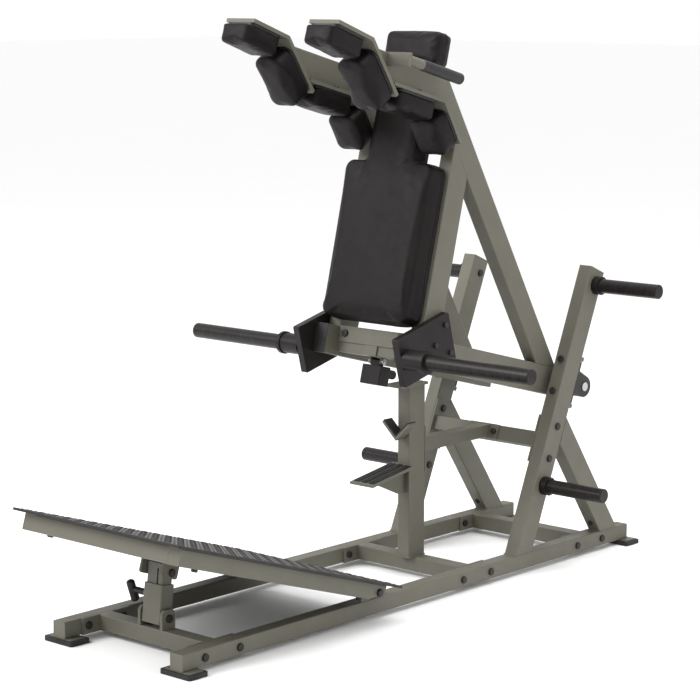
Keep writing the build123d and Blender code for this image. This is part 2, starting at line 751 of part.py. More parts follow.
def shoulder_boards():
    """Black boards between the straps and the cushions."""
    boards = []
    for start, end, strap, first, last, thick, corner in SHOULDER_PADS.values():
        leg = math.dist(start, end)
        low, high = max(first + 2, 0), min(last - 2, leg - 4)
        board = extrude(RectangleRounded(2 * PAD_HALF - 4, high - low, corner - 2), amount=BOARD)
        boards += both_sides(on_arm(against_strap(start, end, low, high, strap, board)))
    return boards


# ---- back pad and headrest -------------------------------------------------------------------
def back_outline(inset):
    """Outline of the back pad on XY: wide body below, narrow neck between the shoulder pads."""
    half = BACK_HALF - inset
    neck = NECK_HALF - inset
    low, shoulder, top = BACK_BOTTOM + inset, BACK_SHOULDER - inset, NECK_TOP - inset
    body = Pos(0, (low + shoulder) / 2) * RectangleRounded(2 * half, shoulder - low, 38)
    collar = Pos(0, (shoulder - 60 + top) / 2) * RectangleRounded(2 * neck, top - shoulder + 60, 24)
    return body + collar


def facing_forward(offset, piece):
    """Stand a piece drawn on XY up in the back pad's plane, at a distance ahead of the pivot."""
    return Plane(origin=(0, -offset, 0), x_dir=(1, 0, 0), z_dir=(0, -1, 0)) * piece


def back_board():
    return [on_arm(facing_forward(SPINE[1], extrude(back_outline(5), amount=BACK_BOARD)))]


def back_pad():
    block = extrude(back_outline(0), amount=BACK_CUSHION)
    block = fillet(block.faces().sort_by(Axis.Z)[-1].edges(), 14)
    return [on_arm(facing_forward(SPINE[1] + BACK_BOARD, block))]


def headrest_board():
    half, low, high = HEADREST
    blank = Pos(0, (low + high) / 2) * RectangleRounded(2 * half - 10, high - low - 10, 16)
    return [on_arm(facing_forward(SPINE[1], extrude(blank, amount=BACK_BOARD)))]


def headrest():
    half, low, high = HEADREST
    pad = Pos(0, (low + high) / 2, 0) * cushion(2 * half, high - low, HEADREST_CUSHION, 22, 18)
    return [on_arm(facing_forward(SPINE[1] + BACK_BOARD, pad))]


# ---- handles ---------------------------------------------------------------------------------
def handles():
    """A flat plate standing out from each beam and the tube that the grip slides on."""
    (rear, front), (low, high) = HANDLE_PLATE
    plate = Pos((SIDE_OUT + GRIP_X + 20) / 2, -(rear + front) / 2, (low + high) / 2) * Box(
        GRIP_X + 20 - SIDE_OUT, front - rear, high - low
    )
    length = rear - GRIP_ENDS[0] - 4
    tube = Pos(GRIP_X, -(rear - length / 2), GRIP_UP) * Rot(X=90) * Cylinder(14, length)
    collar = Pos(GRIP_X, -(rear + GRIP_ENDS[1]) / 2, GRIP_UP) * Rot(X=90) * Cylinder(16, rear - GRIP_ENDS[1])
    return both_sides(on_arm(plate + tube + collar))


def handle_grips():
    rear, front = GRIP_ENDS
    grip = Pos(GRIP_X, -(rear + front) / 2, GRIP_UP) * Rot(X=90) * Cylinder(18, front - rear)
    grip = fillet(grip.edges().filter_by(GeomType.CIRCLE), 4)
    bore_length = front - rear - 4
    bore = Pos(GRIP_X, -(front - bore_length / 2), GRIP_UP) * Rot(X=90) * Cylinder(14, bore_length)
    return both_sides(on_arm(grip - bore))


# ---- bolts on the arm ------------------------------------------------------------------------
def arm_bolts():
    """Socket screws in the sleeve plates and bolt caps on the mounting plate and straps."""
    caps = []
    plate_face = SIDE_OUT + SLEEVE_PLATE[2]
    for forward, up in ((736.0, 99.0), (767.0, 28.0), (687.0, 17.0)):
        caps.append(cap_at(plate_face, -forward, up, "+X", 9, 8))
    mount_face = ARM_CROSS[0][1] + PLATE
    caps.append(cap_at(118, -mount_face, 27, "-Y", 12, 7))
    first, bend = FRONT_STRAP[0], FRONT_STRAP[1]
    slope = math.degrees(math.atan2(first[1] - bend[1], first[0] - bend[0]))
    forward, up = blend_points(first, bend, 0.42)
    caps.append(Pos(SIDE_X, -forward, up) * Rot(X=-slope) * cap(9, 8))
    caps.append(cap_at(SIDE_X + 40, -1040, BEAM[0], "+Z", 8, 8))
    caps.append(cap_at(SIDE_X - 40, -1040, BEAM[0], "+Z", 8, 8))
    forward, up = blend_points(REAR_STRAP[1], REAR_STRAP[2], 0.5)
    for offset in (-40, 40):
        caps.append(Pos(SIDE_X + offset, -forward, up) * Rot(X=-45) * cap(8, 8))
    return [on_arm(piece) for piece in both_sides(*caps)]


# ---- latch -----------------------------------------------------------------------------------
def latch_bracket():
    """Plate on the crossmember's front face with two ears below it for the latch pin."""
    front, low = ARM_CROSS[0][1], ARM_CROSS[1][0]
    forward, up = LATCH_PIN
    plate = Pos(0, -(front + PLATE / 2), -18.5) * Box(50, PLATE, 33)
    ears = []
    for side in (-1, 1):
        x_low, x_high = sorted((side * 19.0, side * 25.0))
        outline = [(forward - 12, low), (forward + 12, low), (forward + 12, up), (forward - 12, up)]
        ear = slab(ahead(outline), x_low, x_high)
        ear += rod(12, x_low, x_high, -forward, up)
        ears.append(ear - rod(LATCH_PIN_R, x_low - 1, x_high + 1, -forward, up))
    return [on_arm(plate), *[on_arm(ear) for ear in ears]]


def latch_pin():
    forward, up = LATCH_PIN
    pin = rod(LATCH_PIN_R, -31, 31, -forward, up)
    for side in (-1, 1):
        low, high = sorted((side * 25.3, side * 29.0))
        pin += rod(10, low, high, -forward, up)
    return [on_arm(pin)]


def latch_block():
    """The swinging block that lands on the landing plate, with the lug that hangs it on its pin."""
    (rear, front), (low, high) = LATCH_BLOCK
    forward, up = LATCH_PIN
    block = Pos(0, -(rear + front) / 2, (low + high) / 2) * Box(2 * LATCH_HALF, front - rear, high - low)
    block = fillet(block.edges(), 3)
    outline = [(forward - 10, high - 4), (forward + 10, high - 4), (forward + 10, up), (forward - 10, up)]
    lug = slab(ahead(outline), -18, 18) + rod(10, -18, 18, -forward, up)
    return [on_arm(block + lug - rod(LATCH_PIN_R + RUNNING, -19, 19, -forward, up))]


def latch_bumper():
    """Round rubber bumper pointing to the rear."""
    tip, up, radius = BUMPER
    rear = LATCH_BLOCK[0][0]
    bumper = Pos(0, -(tip + rear) / 2, up) * Rot(X=90) * Cylinder(radius, rear - tip)
    return [on_arm(fillet(bumper.edges().sort_by(Axis.Y)[-1], 4))]


# ---- foot platform ---------------------------------------------------------------------------
def platform_side_tubes():
    """Side tubes with a lid in the front end, cut level below the hinge end to clear the floor."""
    half = TUBE / 2
    outline = ahead([(-28, half), (PLATFORM_FRONT, half), (PLATFORM_FRONT, -half), (-28, -half)])
    tube = side_tube(outline, PLATFORM_X)
    tube += Pos(PLATFORM_X, -(PLATFORM_FRONT - LID / 2 - 0.5), 0) * Box(TUBE - WALL, LID, TUBE - WALL)
    slope = math.tan(math.radians(SLOPE))
    corner = ahead([(-40, 2), (-40, -40), (46 + 15 / slope, -40), (46, -half), (-30, -1.5)])
    tube -= slab(corner, PLATFORM_X - TUBE, PLATFORM_X + TUBE)
    tube -= rod(HINGE_BOLT_R + RUNNING, PLATFORM_X - TUBE, PLATFORM_X + TUBE)
    return both_sides(on_platform(tube))


def platform_cross_tubes():
    """Front, middle and rear tubes between the side tubes."""
    reach = PLATFORM_X - TUBE / 2
    places = (PLATFORM_FRONT - TUBE / 2, CLEVIS[0] + 5, 125.0)
    return [on_platform(Pos(0, -forward, 0) * cross_tube(TUBE, TUBE, -reach, reach)) for forward in places]


def tread_plate():
    (rear, front), half, thick = TREAD
    blank = Pos(0, -(rear + front) / 2, TUBE / 2 + thick / 2) * Box(2 * half, front - rear, thick)
    upright_edges = blank.edges().filter_by(Axis.Z)
    return [on_platform(fillet(upright_edges, 6))]


def clevis_ears():
    """Two ears under the middle cross tube, straddling the strut."""
    low = CLEVIS[1] - 18
    outline = ahead(
        [
            (CLEVIS[0] - 27, -TUBE / 2),
            (CLEVIS[0] + 39, -TUBE / 2),
            (CLEVIS[0] + 39, low + 6),
            (CLEVIS[0] + 33, low),
            (CLEVIS[0] - 21, low),
            (CLEVIS[0] - 27, low + 6),
        ]
    )
    hole = rod(CLEVIS_BOLT_R, CLEVIS_X[0] - 1, CLEVIS_X[1] + 1, -CLEVIS[0], CLEVIS[1])
    return both_sides(on_platform(slab(outline, *CLEVIS_X) - hole))


def platform_bolts():
    """The strut's upper bolt and the nuts under the side tubes that hold the tread plate."""
    forward, up = CLEVIS
    bolt = rod(CLEVIS_BOLT_R, -CLEVIS_X[1] - 1, CLEVIS_X[1] + 1, -forward, up)
    for facing, side in (("+X", 1), ("-X", -1)):
        bolt += cap_at(side * CLEVIS_X[1], -forward, up, facing)
    nuts = []
    for forward in (60.0, 787.0):
        nuts += both_sides(cap_at(PLATFORM_X, -forward, -TUBE / 2, "-Z", 10, 9))
    return [on_platform(piece) for piece in (bolt, *nuts)]


# ---- strut -----------------------------------------------------------------------------------
def upright_tube(size, ends, wall=WALL):
    """A rectangular tube along Z between two heights."""
    low, high = ends
    outer = Pos(0, 0, low) * extrude(RectangleRounded(*size, CORNER), amount=high - low)
    inside = Pos(0, 0, low) * extrude(Rectangle(size[0] - 2 * wall, size[1] - 2 * wall), amount=high - low)
    return outer - inside


def strut_outer():
    """Outer tube, with the boss that guides the pull pin on its far side."""
    tube = upright_tube(STRUT_OUTER, STRUT_OUTER_ENDS)
    half = STRUT_OUTER[0] / 2
    tube -= rod(CLEVIS_BOLT_R + RUNNING, -half - 1, half + 1)
    boss = rod(12, -half - 16, -half, 0, PIN_UP)
    tube += boss
    tube -= rod(PIN_R + RUNNING, -half - 17, -half + WALL + 1, 0, PIN_UP)
    return [on_strut(tube)]


def strut_inner():
    """Inner tube, with the upper bolt's hole, the pin's adjusting slot and the front slot."""
    tube = upright_tube(STRUT_INNER, STRUT_INNER_ENDS)
    half = STRUT_INNER[0] / 2
    tube -= rod(CLEVIS_BOLT_R + 1.5, -half - 1, half + 1, 0, STRUT_REACH)
    slot_low, slot_high = STRUT_INNER_ENDS[0] - 1, PIN_UP + 28
    slot = Pos(-half, 0, (slot_low + slot_high) / 2) * Box(4 * WALL, 2 * PIN_R + 1.6, slot_high - slot_low)
    front_slot = Pos(12, -STRUT_INNER[1] / 2, 110) * Box(6, 3 * WALL, 70)
    return [on_strut(tube - slot - front_slot)]


def pull_pin():
    half = STRUT_OUTER[0] / 2
    return [on_strut(rod(PIN_R, -half - 40, -STRUT_INNER[0] / 2 + WALL + 2, 0, PIN_UP))]


def pin_grip():
    """T-handle of the pull pin: a neck and a leaning cross bar."""
    half = STRUT_OUTER[0] / 2
    neck_low, neck_high = -half - 68, -half - 18
    neck = rod(10, neck_low, neck_high, 0, PIN_UP)
    bar = Pos(neck_low - 4, 0, PIN_UP - 4) * Rot(X=26) * Cylinder(13, 70)
    bar = fillet(bar.edges().filter_by(GeomType.CIRCLE), 8)
    return [on_strut(neck + bar - rod(PIN_R, -half - 40, neck_high + 1, 0, PIN_UP))]


os.makedirs("parts", exist_ok=True)

NODES = (
    base_rails, base_crossmembers, joint_plates, foot_plates, foot_pads,
    post, saddle_plates, saddle_liners, landing_bracket, landing_strips,
    uprights, rear_braces, transverse_tube, centre_brace, storage_sleeves, storage_collars,
    pillow_blocks, frame_lugs, pivot_bolts, frame_bolts,
    arm_lower_tubes, arm_tube_caps, arm_diagonals, arm_spines, yoke_beams, arm_crossmember,
    pad_mount_plate, headrest_support, pivot_shaft, sleeve_plates, arm_sleeves, sleeve_collars,
    front_shoulder_straps, rear_shoulder_straps, shoulder_boards, back_board, back_pad,
    headrest_board, headrest, handles, handle_grips, arm_bolts, latch_bracket, latch_pin,
    latch_block, latch_bumper,
    platform_side_tubes, platform_cross_tubes, tread_plate, clevis_ears, platform_bolts,
    strut_outer, strut_inner, pull_pin, pin_grip,
)
for make in NODES:
    save(make.__name__, make())
for pad_name in SHOULDER_PADS:
    save(f"shoulder_pad_{pad_name}", shoulder_pad(pad_name))
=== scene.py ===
"""Looks of a hack squat machine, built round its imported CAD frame. Metres, +Z up, the user faces -Y."""
import bmesh
import bpy
import math
import numpy as np
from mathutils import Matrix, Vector, noise


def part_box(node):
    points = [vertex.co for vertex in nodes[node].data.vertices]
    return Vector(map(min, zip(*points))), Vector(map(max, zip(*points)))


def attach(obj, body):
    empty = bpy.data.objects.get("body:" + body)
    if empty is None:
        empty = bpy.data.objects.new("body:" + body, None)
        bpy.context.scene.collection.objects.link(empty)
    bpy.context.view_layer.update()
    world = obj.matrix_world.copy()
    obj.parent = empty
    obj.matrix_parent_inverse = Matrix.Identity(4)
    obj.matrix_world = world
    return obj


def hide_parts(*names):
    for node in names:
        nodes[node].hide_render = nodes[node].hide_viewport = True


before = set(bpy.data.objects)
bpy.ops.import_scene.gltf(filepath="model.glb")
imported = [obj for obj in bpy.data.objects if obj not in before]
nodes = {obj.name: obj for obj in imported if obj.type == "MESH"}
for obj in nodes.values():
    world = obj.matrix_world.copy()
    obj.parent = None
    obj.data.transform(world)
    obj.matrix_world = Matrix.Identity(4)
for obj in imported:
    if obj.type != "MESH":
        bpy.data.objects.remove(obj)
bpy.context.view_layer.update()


# ---- Powder-coated steel frame ---------------------------------------------------------------
# Rails, uprights, braces, post and arm are welded square tube, blasted and powder coated in one
# satin grey-olive. The coat has a fine orange peel and carries faint smears of dust. Its sharp
# corners are painted paler: partly a painted highlight, partly wear of the coat.
def lay_out(material):
    """Empty the material's node tree and give it a shader, an output and the piece's own coordinates."""
    material.use_nodes = True
    tree = material.node_tree
    tree.nodes.clear()
    shader = tree.nodes.new("ShaderNodeBsdfPrincipled")
    output = tree.nodes.new("ShaderNodeOutputMaterial")
    tree.links.new(shader.outputs["BSDF"], output.inputs["Surface"])
    place = tree.nodes.new("ShaderNodeTexCoord").outputs["Object"]
    return tree, shader, place


def grain(tree, place, scale, detail=2.0, rough=0.5):
    """A noise pattern; scale is in cycles per metre."""
    pattern = tree.nodes.new("ShaderNodeTexNoise")
    pattern.inputs["Scale"].default_value = scale
    pattern.inputs["Detail"].default_value = detail
    pattern.inputs["Roughness"].default_value = rough
    tree.links.new(place, pattern.inputs["Vector"])
    return pattern.outputs["Fac"]


def spread(tree, value, low, high, start=0.3, end=0.7):
    """Stretch a pattern to run from low to high."""
    span = tree.nodes.new("ShaderNodeMapRange")
    for socket, number in (("From Min", start), ("From Max", end), ("To Min", low), ("To Max", high)):
        span.inputs[socket].default_value = number
    tree.links.new(value, span.inputs["Value"])
    return span.outputs["Result"]


def two_tones(tree, value, first, second):
    """Blend from the first colour to the second by a 0 to 1 pattern."""
    blend = tree.nodes.new("ShaderNodeMix")
    blend.data_type = "RGBA"
    for socket, colour in ((6, first), (7, second)):
        if isinstance(colour, tuple):
            blend.inputs[socket].default_value = (*colour, 1)
        else:
            tree.links.new(colour, blend.inputs[socket])
    tree.links.new(value, blend.inputs[0])
    return blend.outputs[2]


def corner_highlight_mask(tree, width):
    """1 on sharp outer corners, 0 on flats: where the painted corner highlight goes."""
    rounded = tree.nodes.new("ShaderNodeBevel")
    rounded.samples = 3
    rounded.inputs["Radius"].default_value = width
    face = tree.nodes.new("ShaderNodeNewGeometry")
    turn = tree.nodes.new("ShaderNodeVectorMath")
    turn.operation = "DOT_PRODUCT"
    tree.links.new(rounded.outputs["Normal"], turn.inputs[0])
    tree.links.new(face.outputs["Normal"], turn.inputs[1])
    return spread(tree, turn.outputs["Value"], 1.0, 0.0, 0.75, 0.97)


def relief(tree, shader, height, depth, strength=1.0):
    """Bump the surface by a pattern; depth is in metres."""
    bump = tree.nodes.new("ShaderNodeBump")
    bump.inputs["Strength"].default_value = strength
    bump.inputs["Distance"].default_value = depth
    tree.links.new(height, bump.inputs["Height"])
    tree.links.new(bump.outputs["Normal"], shader.inputs["Normal"])


def coated_metal(name, colour, shade, corner_highlight_and_wear, gloss, peel_depth, edge_width=0.0012, mirror=0.5):
    """Paint or powder coat on metal: two close tones, a painted highlight on sharp corners broken up by wear,
    orange peel and smears.
    """
    material = bpy.data.materials.new(name)
    tree, shader, place = lay_out(material)
    dust = spread(tree, grain(tree, place, 7.0, 4.0, 0.6), 0.0, 1.0)
    body = two_tones(tree, dust, shade, colour)
    # Sharp corners turn to the paler colour: a painted highlight, thinned in patches by a wear noise.
    corner_highlight_and_wear_mask = tree.nodes.new("ShaderNodeMath")
    corner_highlight_and_wear_mask.operation = "MULTIPLY"
    tree.links.new(corner_highlight_mask(tree, edge_width), corner_highlight_and_wear_mask.inputs[0])
    tree.links.new(spread(tree, grain(tree, place, 60.0, 3.0), 0.15, 0.75), corner_highlight_and_wear_mask.inputs[1])
    tree.links.new(two_tones(tree, corner_highlight_and_wear_mask.outputs[0], body, corner_highlight_and_wear), shader.inputs["Base Color"])
    smear = spread(tree, grain(tree, place, 18.0, 5.0, 0.65), gloss[0], gloss[1])
    tree.links.new(smear, shader.inputs["Roughness"])
    shader.inputs["Specular IOR Level"].default_value = mirror
    relief(tree, shader, grain(tree, place, 900.0, 1.5), peel_depth)
    return material


def finish(names, material):
    """Give CAD nodes a material of their own in place of the plain one they come with."""
    for name in names:
        mesh = nodes[name].data
        mesh.materials.clear()
        mesh.materials.append(material)
        mesh.polygons.foreach_set("material_index", [0] * len(mesh.polygons))


olive_coat = coated_metal(
    "olive powder coat",
    colour=(0.118, 0.113, 0.088),
    shade=(0.103, 0.099, 0.076),
    # paler colour on sharp corners: painted highlight mixed with wear
    corner_highlight_and_wear=(0.23, 0.225, 0.19),
    gloss=(0.42, 0.58),
    peel_depth=0.00006,
    mirror=0.35,
)
finish(
    [
        "base_rails", "base_crossmembers", "joint_plates", "foot_plates", "post", "saddle_plates",
        "landing_bracket", "uprights", "rear_braces", "transverse_tube", "centre_brace", "frame_lugs",
        "arm_lower_tubes", "arm_diagonals", "arm_spines", "yoke_beams", "arm_crossmember",
        "pad_mount_plate", "headrest_support", "front_shoulder_straps", "rear_shoulder_straps",
        "handles", "latch_bracket", "platform_side_tubes", "platform_cross_tubes", "clevis_ears",
        "strut_outer", "strut_inner",
    ],
    olive_coat,
)


# ---- Weld beads ------------------------------------------------------------------------------
# The uprights, rear braces and centre post stand on the floor tubes and are welded all round their
# feet. Each weld is a row of small overlapping ripples under the same powder coat.
BEAD_RADIUS = 0.0026
RIPPLE_PITCH = 0.0034
STEPS_PER_RIPPLE = 4
RIPPLE_SHARE = 0.18          # how much of the bead's radius the ripples take
WANDER = 0.08                # how much of it wanders from place to place
WANDER_PER_METRE = 300
RING_POINTS = 8
FOOT_LEVEL = 0.0005          # points within this of the lowest one belong to a foot


def weld_line(builder, corners):
    """Sweep a rippled bead round a closed loop of corner points."""
    path = []
    for start, end in zip(corners, corners[1:] + corners[:1]):
        steps = max(2, round((end - start).length / (RIPPLE_PITCH / STEPS_PER_RIPPLE)))
        path += [(start.lerp(end, i / steps), (end - start).normalized()) for i in range(steps)]
    rings = []
    for i, (point, run) in enumerate(path):
        ripple = RIPPLE_SHARE * abs(math.sin(math.pi * i / STEPS_PER_RIPPLE))
        girth = 1 - RIPPLE_SHARE + ripple + WANDER * noise.noise(point * WANDER_PER_METRE)
        side = run.cross(Vector((0, 0, 1))).normalized()
        ring = []
        for k in range(RING_POINTS):
            turn = 2 * math.pi * k / RING_POINTS
            offset = side * math.cos(turn) + Vector((0, 0, math.sin(turn)))
            ring.append(builder.verts.new(point + offset * BEAD_RADIUS * girth))
        rings.append(ring)
    for ring, following in zip(rings, rings[1:] + rings[:1]):
        for k in range(RING_POINTS):
            following_k = (k + 1) % RING_POINTS
            builder.faces.new((ring[k], ring[following_k], following[following_k], following[k]))


def make_piece(name, builder, body, material, smooth=True):
    """Turn mesh code into a piece that rides on a body."""
    mesh = bpy.data.meshes.new(name)
    bmesh.ops.recalc_face_normals(builder, faces=builder.faces)
    builder.to_mesh(mesh)
    builder.free()
    mesh.polygons.foreach_set("use_smooth", [smooth] * len(mesh.polygons))
    mesh.materials.append(material)
    piece = bpy.data.objects.new(name, mesh)
    bpy.context.scene.collection.objects.link(piece)
    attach(piece, body)
    return piece


def standing_points(node):
    """The lowest points of a CAD node, which are the outlines of its feet."""
    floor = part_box(node)[0].z
    return [v.co.copy() for v in nodes[node].data.vertices if v.co.z < floor + FOOT_LEVEL]


beads = bmesh.new()
for node in ("uprights", "rear_braces", "post"):
    foot = standing_points(node)
    groups = [foot] if node == "post" else [[p for p in foot if p.x > 0], [p for p in foot if p.x < 0]]
    for group in groups:
        x_low, x_high = min(p.x for p in group), max(p.x for p in group)
        y_low, y_high = min(p.y for p in group), max(p.y for p in group)
        level = group[0].z
        weld_line(
            beads,
            [
                Vector((x_low, y_low, level)),
                Vector((x_high, y_low, level)),
                Vector((x_high, y_high, level)),
                Vector((x_low, y_high, level)),
            ],
        )
make_piece("foot_welds", beads, "frame", olive_coat)


# ---- Rubber feet, bumper, grooved strips and notch liners ------------------------------------
# Moulded black rubber: four feet under the rail ends, three grooved strips where the arm lands, the
# two liners in the notch and the round bumper on the latch. Dull, slightly dusty, with a fine grain.
def moulded(name, colour, dusty, gloss, grain_scale, depth):
    """Moulded rubber or plastic: fine grain, cloudy gloss and dust in patches."""
    material = bpy.data.materials.new(name)
    tree, shader, place = lay_out(material)
    dust = spread(tree, grain(tree, place, 12.0, 5.0, 0.6), 0.0, 1.0, 0.35, 0.75)
    tree.links.new(two_tones(tree, dust, colour, dusty), shader.inputs["Base Color"])
    tree.links.new(spread(tree, grain(tree, place, 25.0, 3.0), *gloss), shader.inputs["Roughness"])
    shader.inputs["Specular IOR Level"].default_value = 0.35
    relief(tree, shader, grain(tree, place, grain_scale, 3.0, 0.6), depth)
    return material


black_rubber = moulded(
    "black rubber", (0.010, 0.010, 0.010), (0.024, 0.023, 0.022), (0.55, 0.75), 1400.0, 0.00010
)
finish(["foot_pads", "landing_strips", "saddle_liners", "latch_bumper"], black_rubber)


# ---- Storage sleeves, loading sleeves and the plates that carry them -------------------------
# Steel tube and 25 mm plate in satin black, polished brighter in rings by the weight plates that
# slide along the sleeves. The ends are closed.
satin_black = coated_metal(
    "satin black steel",
    colour=(0.012, 0.009, 0.009),
    shade=(0.007, 0.0055, 0.0055),
    # bright colour on sharp corners: painted highlight mixed with wear
    corner_highlight_and_wear=(0.070, 0.063, 0.060),
    gloss=(0.34, 0.50),
    peel_depth=0.00004,
    mirror=0.2,
)
finish(["sleeve_plates", "sleeve_collars", "storage_collars", "latch_block"], satin_black)

sleeve_black = bpy.data.materials.new("slid-on black steel")
tree, shader, place = lay_out(sleeve_black)
stretched = tree.nodes.new("ShaderNodeMapping")
stretched.inputs["Scale"].default_value = (1.0, 0.12, 0.12)
tree.links.new(place, stretched.inputs["Vector"])
rings = grain(tree, stretched.outputs["Vector"], 260.0, 4.0, 0.7)
tree.links.new(
    two_tones(tree, spread(tree, rings, 0.0, 1.0, 0.45, 0.75), (0.008, 0.0063, 0.0060), (0.028, 0.024, 0.023)),
    shader.inputs["Base Color"],
)
shader.inputs["Specular IOR Level"].default_value = 0.22
tree.links.new(spread(tree, rings, 0.28, 0.46), shader.inputs["Roughness"])
relief(tree, shader, rings, 0.00005)
finish(["arm_sleeves", "storage_sleeves"], sleeve_black)


# ---- Bearings, shaft and pins ----------------------------------------------------------------
# The arm turns in two black cast pillow blocks with a sandy skin. The axle, the latch pin and the
# pull pin are bright turned steel.
cast_black = coated_metal(
    "black cast iron",
    colour=(0.016, 0.016, 0.016),
    shade=(0.010, 0.010, 0.010),
    # paler colour on sharp corners: painted highlight mixed with wear
    corner_highlight_and_wear=(0.05, 0.05, 0.05),
    gloss=(0.5, 0.7),
    peel_depth=0.00022,
)
finish(["pillow_blocks"], cast_black)

turned_steel = bpy.data.materials.new("turned steel")
tree, shader, place = lay_out(turned_steel)
shader.inputs["Metallic"].default_value = 1.0
turning = tree.nodes.new("ShaderNodeMapping")
turning.inputs["Scale"].default_value = (1.0, 0.03, 0.03)
tree.links.new(place, turning.inputs["Vector"])
lines = grain(tree, turning.outputs["Vector"], 1500.0, 3.0, 0.7)
tree.links.new(two_tones(tree, lines, (0.42, 0.41, 0.40), (0.58, 0.57, 0.56)), shader.inputs["Base Color"])
tree.links.new(spread(tree, lines, 0.22, 0.42), shader.inputs["Roughness"])
relief(tree, shader, lines, 0.00003)
finish(["pivot_shaft", "latch_pin", "pull_pin"], turned_steel)


# ---- Bolt caps, tube plugs and boards --------------------------------------------------------
# Every bolt head wears a domed black plastic cap. Plastic plugs close the arm's lower tubes, and
# each cushion is stapled to a black board that shows as a thin line behind it.
black_plastic = moulded(
    "black plastic", (0.008, 0.008, 0.008), (0.016, 0.015, 0.015), (0.38, 0.55), 1800.0, 0.00006
)
finish(
    [
        "frame_bolts", "pivot_bolts", "arm_bolts", "platform_bolts", "arm_tube_caps",
        "shoulder_boards", "back_board", "headrest_board", "pin_grip",
    ],
    black_plastic,
)


# ---- Cushions --------------------------------------------------------------------------------
# Back pad, headrest and eight shoulder pads: firm foam under black-brown leatherette, pulled over
# the board's edge and stapled behind. The face crowns, the sides pull in a little between the
# corners, and the pull of the staples leaves faint puckers near the board.
leatherette = bpy.data.materials.new("black-brown leatherette")
tree, shader, place = lay_out(leatherette)
cells = tree.nodes.new("ShaderNodeTexVoronoi")
cells.feature = "DISTANCE_TO_EDGE"
cells.inputs["Scale"].default_value = 700.0
tree.links.new(place, cells.inputs["Vector"])
# Voronoi cell edges are the grain's creases; they drive the bump and a painted shade.
creases_and_painted_shade = spread(tree, cells.outputs["Distance"], 0.0, 1.0, 0.0, 0.22)
tone = spread(tree, grain(tree, place, 14.0, 4.0, 0.6), 0.0, 1.0)
face = two_tones(tree, tone, (0.0065, 0.0047, 0.0046), (0.0100, 0.0075, 0.0073))
# The creases are painted darker than the face: painted shade in the grain.
tree.links.new(two_tones(tree, creases_and_painted_shade, (0.0035, 0.0025, 0.0025), face), shader.inputs["Base Color"])
tree.links.new(spread(tree, grain(tree, place, 40.0, 3.0), 0.40, 0.52), shader.inputs["Roughness"])
shader.inputs["Specular IOR Level"].default_value = 0.14
relief(tree, shader, creases_and_painted_shade, 0.00012, 0.7)

FACING = 0.3                 # a face looks one way if its normal leans at least this much to it
SEWN_DISTANCE = 0.00002      # mesh points closer than this are joined
SIM_FRAMES = 20
STAPLED_HEIGHT = 0.004       # cover this close to the board is held while the rest swells
CUSHION_SHY = 0.002          # the cushion starts this much smaller on every side and swells back
SHY_REACH = 0.02             # height over the board at which it is smaller by the full amount
PUCKER_PITCH = 0.024
PUCKER_REACH = 0.016
PUCKER_PULL = 0.0010         # the staples draw the sides in by this much
PUCKER_WAVE = 0.0008         # and by this much more or less from one pucker to the next


def broad_face(node, toward):
    """Normal and offset of the node's largest flat face among those that look roughly one way."""
    areas = {}
    for polygon in nodes[node].data.polygons:
        if polygon.normal.dot(toward) > FACING:
            key = tuple(round(c, 2) for c in polygon.normal)
            area, normal, offset = areas.get(key, (0.0, None, None))
            areas[key] = (
                area + polygon.area,
                polygon.normal.copy(),
                polygon.normal.dot(polygon.center),
            )
    return max(areas.values(), key=lambda found: found[0])[1:]


def rest_copy(name, node):
    """A sewn-up copy of a CAD cushion to work on."""
    builder = bmesh.new()
    builder.from_mesh(nodes[node].data)
    bmesh.ops.remove_doubles(builder, verts=builder.verts, dist=SEWN_DISTANCE)
    mesh = bpy.data.meshes.new(name)
    builder.to_mesh(mesh)
    builder.free()
    piece = bpy.data.objects.new(name, mesh)
    bpy.context.scene.collection.objects.link(piece)
    return piece


def bake_modifiers(piece):
    """Apply everything on the piece to its mesh."""
    evaluated = piece.evaluated_get(bpy.context.evaluated_depsgraph_get())
    mesh = bpy.data.meshes.new_from_object(evaluated)
    piece.modifiers.clear()
    piece.data = mesh


def points_of(piece):
    """Every mesh point, one to a row."""
    points = np.empty(len(piece.data.vertices) * 3)
    piece.data.vertices.foreach_get("co", points)
    return points.reshape(-1, 3)


def set_points(piece, points):
    """Move every mesh point."""
    piece.data.vertices.foreach_set("co", points.astype(np.float32).ravel())
    piece.data.update()


def normals_of(piece):
    """The way out of the surface at every mesh point."""
    normals = np.empty(len(piece.data.vertices) * 3)
    piece.data.vertices.foreach_get("normal", normals)
    return normals.reshape(-1, 3)


def ease(share):
    """Run smoothly from 0 to 1."""
    share = np.clip(share, 0.0, 1.0)
    return share * share * (3 - 2 * share)


def over_board(points, back, plane):
    """Height of each point over the board, from the cushion's back face."""
    return plane - points @ np.array(back)


def swell(piece, back, plane, cap):
    """Blow the cover up off its board with Cloth, then cap how far it went."""
    start = points_of(piece)
    height = over_board(start, back, plane)
    held = piece.vertex_groups.new(name="stapled")
    held.add([int(i) for i in np.flatnonzero(height < STAPLED_HEIGHT)], 1.0, "REPLACE")
    cloth = piece.modifiers.new("swell", "CLOTH")
    settings = cloth.settings
    settings.quality = 4
    settings.mass = 0.4
    settings.tension_stiffness = 12
    settings.compression_stiffness = 12
    settings.shear_stiffness = 6
    settings.bending_stiffness = 2.0
    settings.use_pressure = True
    settings.uniform_pressure_force = 4.0
    settings.vertex_group_mass = held.name
    settings.effector_weights.gravity = 0.0
    cloth.collision_settings.use_collision = False
    cloth.point_cache.frame_start = 1
    cloth.point_cache.frame_end = SIM_FRAMES
    for step in range(1, SIM_FRAMES + 1):
        bpy.context.scene.frame_set(step)
    bake_modifiers(piece)
    bpy.context.scene.frame_set(1)
    moved = points_of(piece) - start
    length = np.linalg.norm(moved, axis=1, keepdims=True)
    capped = cap * np.tanh(length / cap)
    set_points(piece, start + moved * capped / np.maximum(length, 1e-9))


